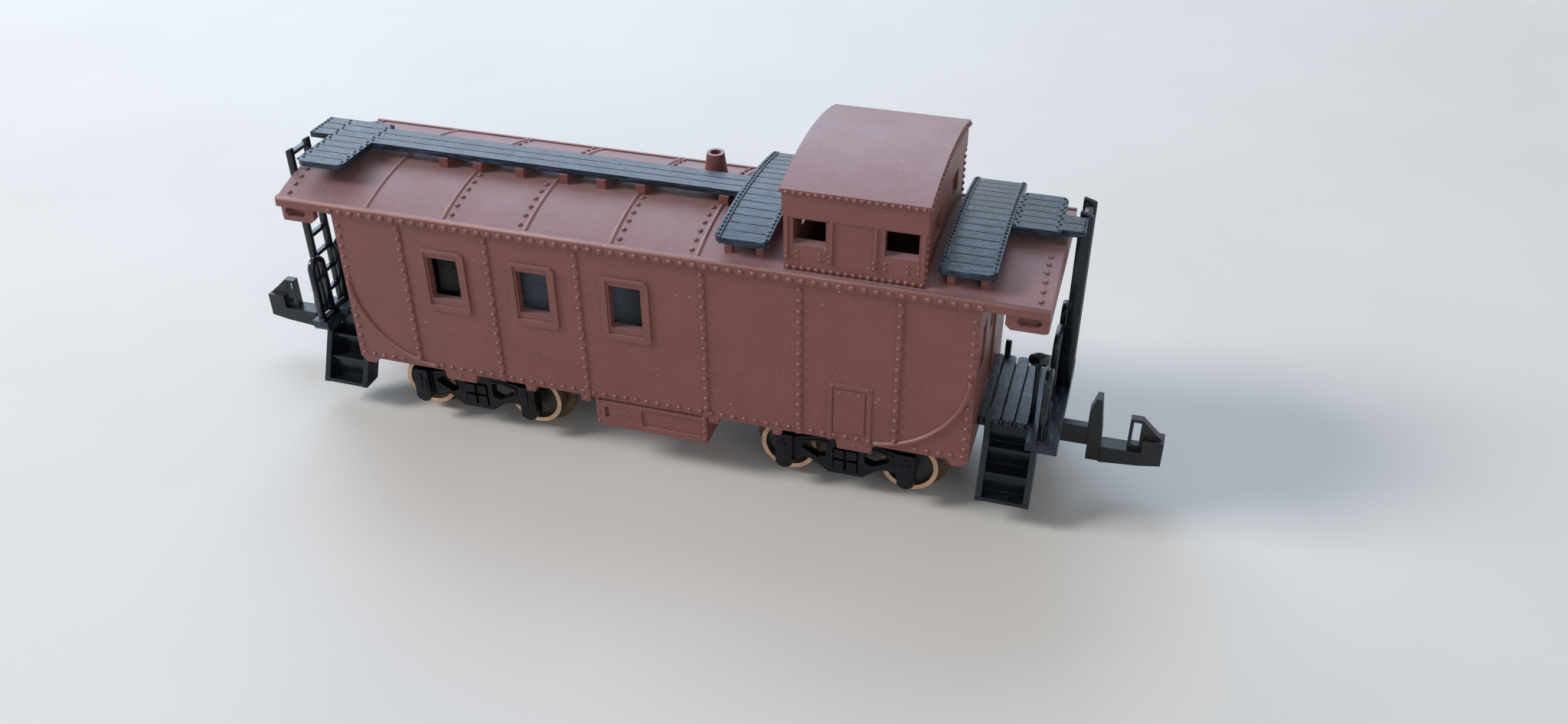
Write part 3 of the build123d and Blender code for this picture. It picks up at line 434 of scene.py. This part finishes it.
def tube(points, faces, path, ups, side, radius):
    """Adds a closed round tube along a path, given what is up along it and its sideways direction."""
    first = len(points)
    side = Vector(side)
    for at, up in zip(path, ups):
        for k in range(BEAD_SIDES):
            turn = 2 * math.pi * (k + 0.5) / BEAD_SIDES
            points.append(Vector(at) + radius * (math.cos(turn) * side + math.sin(turn) * Vector(up)))
    for step in range(len(path) - 1):
        for k in range(BEAD_SIDES):
            a = first + step * BEAD_SIDES + k
            b = first + step * BEAD_SIDES + (k + 1) % BEAD_SIDES
            faces.append((a, b, b + BEAD_SIDES, a + BEAD_SIDES))
    faces.append(tuple(first + k for k in reversed(range(BEAD_SIDES))))
    faces.append(tuple(len(points) - BEAD_SIDES + k for k in range(BEAD_SIDES)))


def box(points, faces, x0, x1, y0, y1, z0, z1, slope=0.0):
    """Adds a box, its top sloping down by slope towards x1."""
    a = len(points)
    points += [(x0, y0, z0), (x1, y0, z0), (x1, y1, z0), (x0, y1, z0),
               (x0, y0, z1), (x1, y0, z1 - slope), (x1, y1, z1 - slope), (x0, y1, z1)]
    faces += [(a, a + 3, a + 2, a + 1), (a + 4, a + 5, a + 6, a + 7), (a, a + 1, a + 5, a + 4),
              (a + 1, a + 2, a + 6, a + 5), (a + 2, a + 3, a + 7, a + 6), (a + 3, a, a + 4, a + 7)]


def turned(points, faces, end):
    """Points made for the right end, its ladder at +y, put at an end, and their faces to suit."""
    way = end["way"]
    side = end["side"]
    placed = [(way * x, side * y, z) for x, y, z in points]
    if way * side < 0:
        faces = [tuple(reversed(face)) for face in faces]
    return placed, faces


SOFT_SEGMENTS = 3


def soften(made, width):
    """Rounds a piece's edges by width in millimetres."""
    edge = made.modifiers.new("soft_edges", "BEVEL")
    edge.width = width * MM
    edge.segments = SOFT_SEGMENTS
    edge.limit_method = "ANGLE"


def spaced(start, end, count):
    """Evenly spaced values, both ends included."""
    return [start + (end - start) * k / (count - 1) for k in range(count)]


def arc_height(y, half, edge, crown):
    """Height of an arc over the car, and its upward direction there."""
    drop = crown - edge
    radius = (half * half + drop * drop) / (2 * drop)
    height = math.sqrt(radius * radius - y * y)
    return crown - radius + height, (0, y / radius, height / radius)


# Camera at the photograph's place: a pinhole with its turn in degrees, and its focal length in
# pixels of the photograph. What it sees lies between the two distances in metres.

PHOTO_WIDE = 2048
FOCAL_PX = 1730.48
SENSOR = 36.0
CAMERA_AT = (37.458, -91.944, 72.748)
CAMERA_YAW = -16.800
CAMERA_PITCH = 34.168
CAMERA_ROLL = -0.266
NEAREST = 0.01
FARTHEST = 10


def make_camera():
    """A pinhole camera where the photograph was taken from."""
    data = bpy.data.cameras.new("photo_camera")
    data.sensor_width = SENSOR
    data.lens = FOCAL_PX / PHOTO_WIDE * SENSOR
    data.clip_start = NEAREST
    data.clip_end = FARTHEST
    camera = bpy.data.objects.new("photo_camera", data)
    bpy.context.scene.collection.objects.link(camera)
    yaw, pitch, roll = (math.radians(a) for a in (CAMERA_YAW, CAMERA_PITCH, CAMERA_ROLL))
    ahead = Vector((math.sin(yaw) * math.cos(pitch), math.cos(yaw) * math.cos(pitch), -math.sin(pitch)))
    level = Vector((math.cos(yaw), -math.sin(yaw), 0))
    upright = level.cross(ahead)
    right = level * math.cos(roll) + upright * math.sin(roll)
    up = upright * math.cos(roll) - level * math.sin(roll)
    turn = Matrix((right, up, -ahead)).transposed()
    camera.matrix_world = Matrix.Translation(Vector(CAMERA_AT) * MM) @ turn.to_4x4()
    bpy.context.scene.camera = camera


# Floor, which fades into the backdrop's colour between two distances in metres, and light

FLOOR_HALF = 3000
FLOOR_TONES = ((0.70, 0.69, 0.67, 1), (0.73, 0.72, 0.70, 1))
FLOOR_FADE = (0.25, 1.0)
BACKDROP = (0.76, 0.77, 0.78, 1.0)
WORLD_LIGHT = (0.228, 0.2328, 0.24, 1.0)
LAMPS = (
    # name, place in mm, size in mm, watts, colour
    ("window", (-840, -300, 640), 300, 8.6, (1.0, 0.97, 0.94)),
    ("sky", (-380, 660, 600), 840, 7.0, (0.64, 0.80, 1.0)),
    ("fill", (620, -680, 360), 520, 1.8, (1.0, 0.98, 0.95)),
)


def seen_ray(tree):
    """1 for a ray from the camera, a reflection or a look through glass, else 0."""
    path = add(tree, "ShaderNodeLightPath")
    seen = maths(tree, "MAXIMUM", path.outputs["Is Camera Ray"], path.outputs["Is Glossy Ray"])
    return maths(tree, "MAXIMUM", seen, path.outputs["Is Transmission Ray"])


def make_floor():
    """A plain pale floor that takes the car's shadow."""
    half = FLOOR_HALF * MM
    mesh = bpy.data.meshes.new("floor")
    corners = [(-half, -half, 0), (half, -half, 0), (half, half, 0), (-half, half, 0)]
    mesh.from_pydata(corners, [], [(0, 1, 2, 3)])
    material, tree, shader, place = start_material("pale_floor")
    tone = ramp(tree, noise(tree, place, scale=30, detail=3.0, rough=0.5), 0.3, 0.7)
    tree.links.new(mix(tree, tone, *FLOOR_TONES), shader.inputs["Base Color"])
    shader.inputs["Roughness"].default_value = 0.6
    away = add(tree, "ShaderNodeVectorMath", {0: place}, operation="LENGTH").outputs["Value"]
    share = times(tree, ramp(tree, away, *FLOOR_FADE), seen_ray(tree))
    glow = add(tree, "ShaderNodeEmission", {"Color": BACKDROP})
    both = add(tree, "ShaderNodeMixShader", {0: share, 1: shader.outputs["BSDF"], 2: glow.outputs[0]})
    output = next(n for n in tree.nodes if n.type == "OUTPUT_MATERIAL")
    tree.links.new(both.outputs[0], output.inputs["Surface"])
    mesh.materials.append(material)
    floor = bpy.data.objects.new("floor", mesh)
    bpy.context.scene.collection.objects.link(floor)


def make_light():
    """Soft lamps aimed at the middle of the floor, and a world that looks paler than it lights."""
    for name, place, size, watts, colour in LAMPS:
        data = bpy.data.lights.new(name, "AREA")
        data.size = size * MM
        data.energy = watts
        data.color = colour
        lamp = bpy.data.objects.new(name, data)
        bpy.context.scene.collection.objects.link(lamp)
        lamp.location = Vector(place) * MM
        lamp.rotation_euler = (-lamp.location).to_track_quat("-Z", "Y").to_euler()
        lamp.visible_camera = False
    world = bpy.data.worlds.new("studio")
    world.use_nodes = True
    tree = world.node_tree
    light = mix(tree, seen_ray(tree), WORLD_LIGHT, BACKDROP)
    tree.links.new(light, tree.nodes["Background"].inputs["Color"])
    bpy.context.scene.world = world
    bpy.context.scene.view_settings.view_transform = "Standard"


# Rivets on the body's sides. A rivet is (radius, height), a gap is left out of its row, and the
# rows run along the eaves, down the battens and corners, and along the sides' lower edges.

EAVE_RIVET = (0.27, 0.2)
SIDE_RIVET = (0.21, 0.19)
SMALL_RIVET = (0.15, 0.12)
EAVE_Y = 8.45
EAVE_Z = 21.2
EAVE_END = 27.38
EAVE_COUNT = 57
BATTENS = (-21.4, -13.4, -5.4, 5.4, 13.4, 21.4)
BATTEN_Z = (20.29, 7.44)
BATTEN_COUNT = 14
ROW_Z = 6.95
ROW_END = 27.0
ROW_COUNT = 57
ROW_GAP = (19.3, 22.2)
TABS = (-17.6, -10.85, -5.65, 5.95, 11.5, 18.1)
TAB_Z = 6.2
CORNER_X = 27.08
CORNER_TOP = 19.74
CORNER_STEP = 1.0
CORNER_COUNT = 13
CORNER_GAP = (13.2, 14.4)
# x and z of each rivet round the hatch
HATCH_RIVETS = ((16.2, 11.9), (19.05, 11.9), (16.85, 11.3), (18.4, 11.3))


def side_rivets(red):
    """Rivets on both of the body's sides."""
    places = []
    for side in SIDES:
        out = (0, side, 0)
        for x in spaced(-EAVE_END, EAVE_END, EAVE_COUNT):
            places.append(((x, side * EAVE_Y, EAVE_Z), out, *EAVE_RIVET))
        for x in BATTENS:
            for z in spaced(*BATTEN_Z, BATTEN_COUNT):
                places.append(((x, side * BATTEN_Y, z), out, *SIDE_RIVET))
        for x in spaced(-ROW_END, ROW_END, ROW_COUNT):
            if not ROW_GAP[0] < abs(x) < ROW_GAP[1]:
                places.append(((x, side * SIDE_Y, ROW_Z), out, *SIDE_RIVET))
        for x in TABS:
            places.append(((x, side * SIDE_Y, TAB_Z), out, *SMALL_RIVET))
        for way in SIDES:
            for k in range(CORNER_COUNT):
                z = CORNER_TOP - CORNER_STEP * k
                if not CORNER_GAP[0] < z < CORNER_GAP[1]:
                    places.append(((way * CORNER_X, side * SIDE_Y, z), out, *SIDE_RIVET))
        for x, z in HATCH_RIVETS:
            places.append(((x, side * BATTEN_Y, z), out, *SMALL_RIVET))
    domes("side_rivets", places, red, "body_plastic")


# Rivets on the roof, in columns beside its ribs and near its ends

RIB_RIVETS = (-16.4, -10.26, -1.64, 4.44)
RIB_RIVET_Y = (2.21, 7.36)
RIB_RIVET_COUNT = 6
ROOF_END_X = 31.6
ROOF_END_Y = (2.6, 7.5)
ROOF_END_COUNT = 6


def roof_rivets(red):
    """Rivets on both slopes of the roof."""
    places = []
    columns = [(x, RIB_RIVET_Y, RIB_RIVET_COUNT) for x in RIB_RIVETS]
    columns += [(way * ROOF_END_X, ROOF_END_Y, ROOF_END_COUNT) for way in SIDES]
    for x, reach, count in columns:
        for y in spaced(*reach, count):
            for side in SIDES:
                z, up = arc_height(side * y, GUTTER_Y, GUTTER_Z, CROWN_Z)
                places.append(((x, side * y, z), up, *SIDE_RIVET))
    domes("roof_rivets", places, red, "body_plastic")


# Rounded beads over the roof's ribs, a little sunk, and along its eaves

RIB_BEADS = (-24.1, -17.0, -9.66, -2.24, 5.04)
RIB_BEAD_R = 0.22
RIB_BEAD_SUNK = 0.07
RIB_BEAD_Y = 8.0
RIB_BEAD_STEPS = 33
EAVE_BEAD_R = 0.17
EAVE_BEAD_Y = 8.28
EAVE_BEAD_Z = 21.66
ROOF_END = 32.5


def roof_beads(ridges):
    points = []
    faces = []
    for x in RIB_BEADS:
        path = []
        ups = []
        for y in spaced(RIB_BEAD_Y, -RIB_BEAD_Y, RIB_BEAD_STEPS):
            z, up = arc_height(y, GUTTER_Y, GUTTER_Z, CROWN_Z)
            path.append((x, y, z - RIB_BEAD_SUNK))
            ups.append(up)
        tube(points, faces, path, ups, (-1, 0, 0), RIB_BEAD_R)
    for side in SIDES:
        y = side * EAVE_BEAD_Y
        path = [(-side * ROOF_END, y, EAVE_BEAD_Z), (side * ROOF_END, y, EAVE_BEAD_Z)]
        tube(points, faces, path, [(0, 0, 1)] * 2, (0, -side, 0), EAVE_BEAD_R)
    # The beads take the paler red, a painted highlight along their tops
    piece("roof_beads", points, faces, ridges, "body_plastic")


# Rounded beads over the curved mouldings in the sides' lower corners: quarter circles round a
# centre, from one angle in degrees through a turn

CURVE_X = 19.06
CURVE_Z = 14.89
CURVE_R = 8.16
CURVE_FROM = 4.5
CURVE_TURN = 81
CURVE_STEPS = 28
CURVE_BEAD_R = 0.24


def corner_beads(red):
    points = []
    faces = []
    for side in SIDES:
        for way in SIDES:
            path = []
            ups = []
            for degrees in spaced(CURVE_FROM, CURVE_FROM + CURVE_TURN, CURVE_STEPS):
                turn = math.radians(degrees)
                outward = (way * math.cos(turn), 0, -math.sin(turn))
                x = way * CURVE_X + CURVE_R * outward[0]
                path.append((x, side * SIDE_Y, CURVE_Z + CURVE_R * outward[2]))
                ups.append(outward)
            across = (0, side * way, 0)
            tube(points, faces, path, ups, across, CURVE_BEAD_R)
    piece("corner_beads", points, faces, red, "body_plastic")


# Thin backs of the holes in the frames under the roof's ends

WEB_X = (30.05, 32.0)
WEB_Y = (7.58, 7.68)
WEB_Z = (19.9, 20.8)


def porch_webs(red):
    points = []
    faces = []
    for side in SIDES:
        for way in SIDES:
            x0, x1 = sorted(way * x for x in WEB_X)
            y0, y1 = sorted(side * y for y in WEB_Y)
            box(points, faces, x0, x1, y0, y1, *WEB_Z)
    piece("porch_webs", points, faces, red, "body_plastic", smooth=False)


# Rivets on the cupola: rows along its eaves and foot, pairs between its windows, columns on its
# right corners, and an arch on each end of its roof's cap

CUP_LEFT = 12.05
CUP_RIGHT = 23.0
CUP_SIDE_Y = 7.8
CAP_SIDE_Y = 7.95
CAP_EAVE_Y = 8.05
CAP_PROUD = 0.2
CAP_EAVE = 28.65
CAP_CROWN = 29.8
CUP_RIVET = (0.19, 0.16)
CUP_ROW_X = (12.35, 22.75)
CUP_ROW_COUNT = 19
CUP_EAVE_Z = 28.4
CUP_FOOT_Z = 22.0
PAIR_Z = (23.4, 22.9)
PAIR_X = (
    # x, and y of the surface there
    (12.3, CAP_SIDE_Y), (13.1, CUP_SIDE_Y), (14.9, CUP_SIDE_Y), (15.7, CAP_SIDE_Y), (19.1, CAP_SIDE_Y),
    (19.95, CUP_SIDE_Y), (21.65, CUP_SIDE_Y), (22.5, CUP_SIDE_Y),
)
CUP_CORNER_Y = 7.55
CUP_CORNER_Z = (22.6, 26.2)
CUP_CORNER_COUNT = 7
ARCH_END_Y = 7.8
ARCH_COUNT = 27
ARCH_DROP = 0.3


def cupola_rivets(red):
    places = []
    for side in SIDES:
        out = (0, side, 0)
        for x in spaced(*CUP_ROW_X, CUP_ROW_COUNT):
            places.append(((x, side * CAP_EAVE_Y, CUP_EAVE_Z), out, *CUP_RIVET))
            places.append(((x, side * CUP_SIDE_Y, CUP_FOOT_Z), out, *CUP_RIVET))
        for x, y in PAIR_X:
            for z in PAIR_Z:
                places.append(((x, side * y, z), out, *SMALL_RIVET))
        for z in spaced(*CUP_CORNER_Z, CUP_CORNER_COUNT):
            places.append(((CUP_RIGHT, side * CUP_CORNER_Y, z), (1, 0, 0), *CUP_RIVET))
    for y in spaced(-ARCH_END_Y, ARCH_END_Y, ARCH_COUNT):
        z = arc_height(y, CAP_SIDE_Y, CAP_EAVE, CAP_CROWN)[0] - ARCH_DROP
        places.append(((CUP_RIGHT + CAP_PROUD, y, z), (1, 0, 0), *CUP_RIVET))
        places.append(((CUP_LEFT - CAP_PROUD, y, z), (-1, 0, 0), *CUP_RIVET))
    domes("cupola_rivets", places, red, "body_plastic")


# Studs along the borders of the walks: straight rows on the two cross walks, zigzag rows on the
# end boards and one row at the end of each plank that runs on outwards

STUD = (0.13, 0.09)
CROSS_X = (6.5, 23.95)
CROSS_WIDE = 4.35
CROSS_Y = 7.86
CROSS_END = 23.78
CROSS_CROWN = 24.52
CROSS_BORDER = 0.25
CROSS_STUD_Y = 7.51
CROSS_STUDS = 31
STUD_STEP = 0.5
STUD_IN = 0.25
ZIGZAG = (0.16, 0.36)
PLANK_STUD_IN = 0.2


def stud_row(y0, y1):
    """Places of the studs along an edge from y0 to y1."""
    return spaced(y0 + STUD_IN, y1 - STUD_IN, round((y1 - y0 - 2 * STUD_IN) / STUD_STEP) + 1)


def walk_studs(planks):
    """Studs on the cross walks, the end boards and the planks' ends."""
    places = []
    up = (0, 0, 1)
    for x0 in CROSS_X:
        for x in (x0 + CROSS_BORDER, x0 + CROSS_WIDE - CROSS_BORDER):
            for y in spaced(-CROSS_STUD_Y, CROSS_STUD_Y, CROSS_STUDS):
                z, out = arc_height(y, CROSS_Y, CROSS_END, CROSS_CROWN)
                places.append(((x, y, z), out, *STUD))
    for end in ENDS:
        way = end["way"]
        side = end["side"]
        for edge, inward in zip(end["board"], (1, -1)):
            for k, y in enumerate(stud_row(*end["board_y"])):
                x = edge + inward * ZIGZAG[k % 2]
                places.append(((way * x, side * y, WALK_TOP), up, *STUD))
        x = end["plank_end"] - PLANK_STUD_IN
        for y in stud_row(*end["plank_y"]):
            places.append(((way * x, side * y, WALK_TOP), up, *STUD))
    domes("walk_studs", places, planks, "black_plastic")


# Rivets on the boxes under the sides

BOX_Y = 8.1
BOX_STRIPS = (
    # x, and the z of each rivet
    (-4.62, (6.0, 5.0, 4.0)),
    (5.08, (6.2, 5.5, 4.8, 4.0)),
)


def box_rivets(red):
    places = []
    for side in SIDES:
        for x, heights in BOX_STRIPS:
            for z in heights:
                places.append(((x, side * BOX_Y, z), (0, side, 0), *SMALL_RIVET))
    domes("box_rivets", places, red, "body_plastic")


# Railings with rounded bars, in place of the frame's plain ones: arches of thick bar with thin
# bars across, on a foot

RAILING = (
    # from y, to y, counted towards the ladder's side
    (-6.6, -3.9),
    (-0.9, 2.7),
    (4.5, 6.6),
)
RAIL_TOP = 14.5
RAIL_BAR = 0.55
RAIL_ROUND = 0.9
RAIL_ROUND_STEPS = 6
RAIL_THIN = 0.35
RAIL_THIN_SHARE = 0.8
RAIL_LEVELS = (9.8, 12.5)
RAIL_FOOT = 0.4
RAIL_HALF = 6.6


def arch_path(y0, y1):
    """Middle line of an arched bar, up one post, round its corners and down the other."""
    half = RAIL_BAR / 2
    inner = y0 + half
    outer = y1 - half
    top = RAIL_TOP - half
    bend = min(RAIL_ROUND, (outer - inner) / 2)
    path = [(inner, DECK_TOP), (inner, top - bend)]
    for k in range(1, RAIL_ROUND_STEPS + 1):
        turn = math.radians(90 * k / RAIL_ROUND_STEPS)
        path.append((inner + bend * (1 - math.cos(turn)), top - bend + bend * math.sin(turn)))
    back = [(inner + outer - y, z) for y, z in reversed(path)]
    return path + back


def make_railing(end, material):
    points = []
    faces = []
    half = RAIL_BAR / 2
    x = (end["rail_in"] + end["rail_out"]) / 2
    half_x = (end["rail_out"] - end["rail_in"]) / 2
    for y0, y1 in RAILING:
        bar(points, faces, x, arch_path(y0, y1), half_x, half)
        for level in RAIL_LEVELS:
            z = level - RAIL_THIN / 2
            bar(points, faces, x, ((y0 + half, z), (y1 - half, z)), half_x * RAIL_THIN_SHARE, RAIL_THIN / 2)
    z = DECK_TOP + RAIL_FOOT / 2
    bar(points, faces, x, ((-RAIL_HALF, z), (RAIL_HALF, z)), half_x, RAIL_FOOT / 2)
    name = "railing_" + end["name"]
    made = piece(name + "_rounded", *turned(points, faces, end), material, "black_plastic")
    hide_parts(name)


# Roof ladders with rounded edges, in place of the frame's plain ones

LADDER_Y = (2.15, 5.05)
LADDER_BAR = 0.45
LADDER_TOP = 24.7
LADDER_SLOPE = 0.35
LADDER_EDGE = 0.12
RUNG = 0.32
RUNG_DEEP = 0.6
RUNG_IN = 0.1
RUNG_FIRST = 9.9
RUNG_STEP = 2.0
RUNGS = 8


def make_ladder(end, material):
    points = []
    faces = []
    x0 = end["rail_out"]
    x1 = end["ladder_out"]
    y0, y1 = LADDER_Y
    for y in (y0, y1 - LADDER_BAR):
        box(points, faces, x0, x1, y, y + LADDER_BAR, DECK_TOP, LADDER_TOP, LADDER_SLOPE)
    middle = (x0 + x1) / 2
    near = middle - RUNG_DEEP / 2
    far = middle + RUNG_DEEP / 2
    for k in range(RUNGS):
        z = RUNG_FIRST + k * RUNG_STEP
        box(points, faces, near, far, y0 + RUNG_IN, y1 - RUNG_IN, z, z + RUNG)
    name = "ladder_" + end["name"]
    made = piece(name + "_rounded", *turned(points, faces, end), material, "black_plastic")
    soften(made, LADDER_EDGE)
    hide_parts(name)


# Materials of the frame's nodes. A node named nowhere here is plain black moulding.

RED_NODES = ("body_shell", "roof", "cupola_walls", "cupola_roof", "smokejack", "side_box_near",
             "side_box_far")
WALK_NODES = ("roof_walk", "cross_walk_left", "cross_walk_right", "end_walk_right")


def finish_nodes():
    """Gives every node of the frame its material, and returns those that the added pieces share."""
    red = red_plastic("oxide_red_plastic", OXIDE_RED)
    # The paler copy of the red is a painted highlight for the roof's ridges and eave beads
    ridges = red_plastic("oxide_red_ridges_painted_highlight", RIDGE_HIGHLIGHT_RED)
    blacks = {name: black_plastic(name, *row) for name, *row in BLACKS}
    planks = blacks["plank_walks"]
    gloss = blacks["black_moulding"]
    metal = steel()
    clear = clear_plastic()
    by_name = {**dict.fromkeys(RED_NODES, red), **dict.fromkeys(WALK_NODES, planks)}
    by_start = {"platform": blacks["plank_deck"], "truck_frame": blacks["black_trucks"],
                "coupler": blacks["brown_black_couplers"], "weight": metal, "glazing": clear}
    for name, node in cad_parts.items():
        material = by_name.get(name, gloss)
        if name.startswith("wheelset"):
            low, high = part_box(name)
            middle = (low + high) / 2
            material = wheel_metal(f"{name}_metal", middle.x, middle.z)
        for start, other in by_start.items():
            if name.startswith(start):
                material = other
        node.data.materials.clear()
        node.data.materials.append(material)
    return red, ridges, planks, gloss


make_camera()
make_floor()
make_light()
red, ridges, planks, gloss = finish_nodes()
side_rivets(red)
roof_rivets(red)
roof_beads(ridges)
corner_beads(red)
porch_webs(red)
cupola_rivets(red)
walk_studs(planks)
box_rivets(red)
for end in ENDS:
    make_railing(end, gloss)
    make_ladder(end, gloss)
